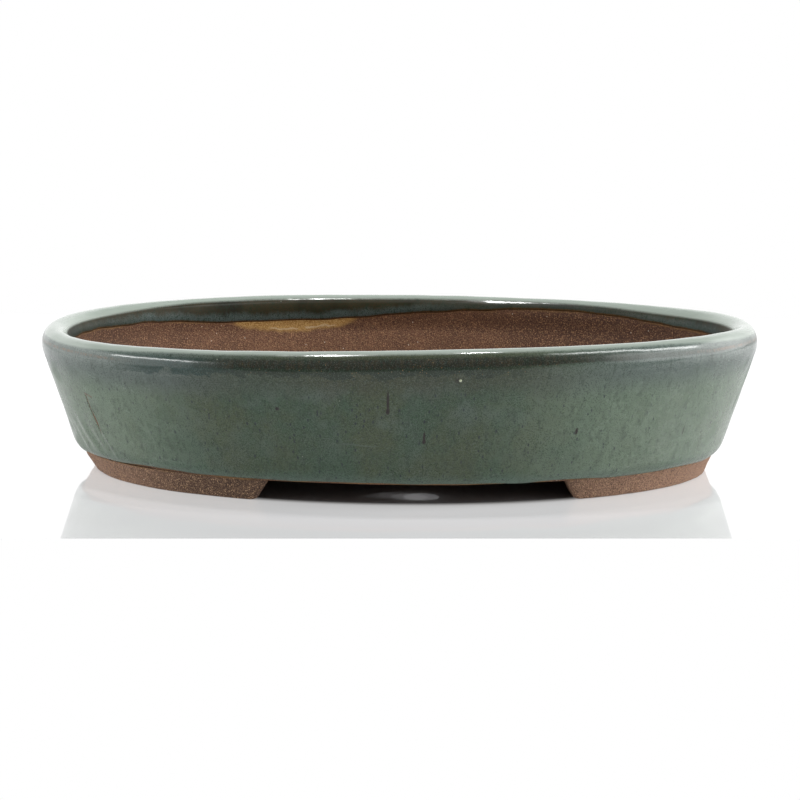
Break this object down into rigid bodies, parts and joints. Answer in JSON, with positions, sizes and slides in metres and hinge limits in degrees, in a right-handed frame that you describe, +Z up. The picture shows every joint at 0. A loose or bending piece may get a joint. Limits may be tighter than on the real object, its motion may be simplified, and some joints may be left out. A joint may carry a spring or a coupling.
{
  "type": "bonsai pot",
  "caption": "Shallow oval bonsai pot: flared wall glazed green, thick rounded lip, bare clay inside, drain holes, and low C-shaped feet with a gap between them at front and back.",
  "frame": {"origin": "on the table plane under the feet, below the middle of the oval", "axes": "+X along the pot, towards its right end seen from the front; -Y towards the front; +Z up"},
  "size_m": [0.3, 0.228, 0.0625],
  "materials": {
    "inside_clay": "matte",
    "foot_clay": "matte",
    "wall_glaze": "gloss",
    "lip_glaze": "gloss"
  },
  "bodies": {
    "root": {"floor_slab": "inside_clay", "wall_strip": "inside_clay", "corner_coil": "inside_clay", "lip_coil": "inside_clay", "foot_left": "foot_clay", "foot_right": "foot_clay", "wall_glaze": "wall_glaze", "lip_glaze": "lip_glaze"}
  },
  "joints": []
}
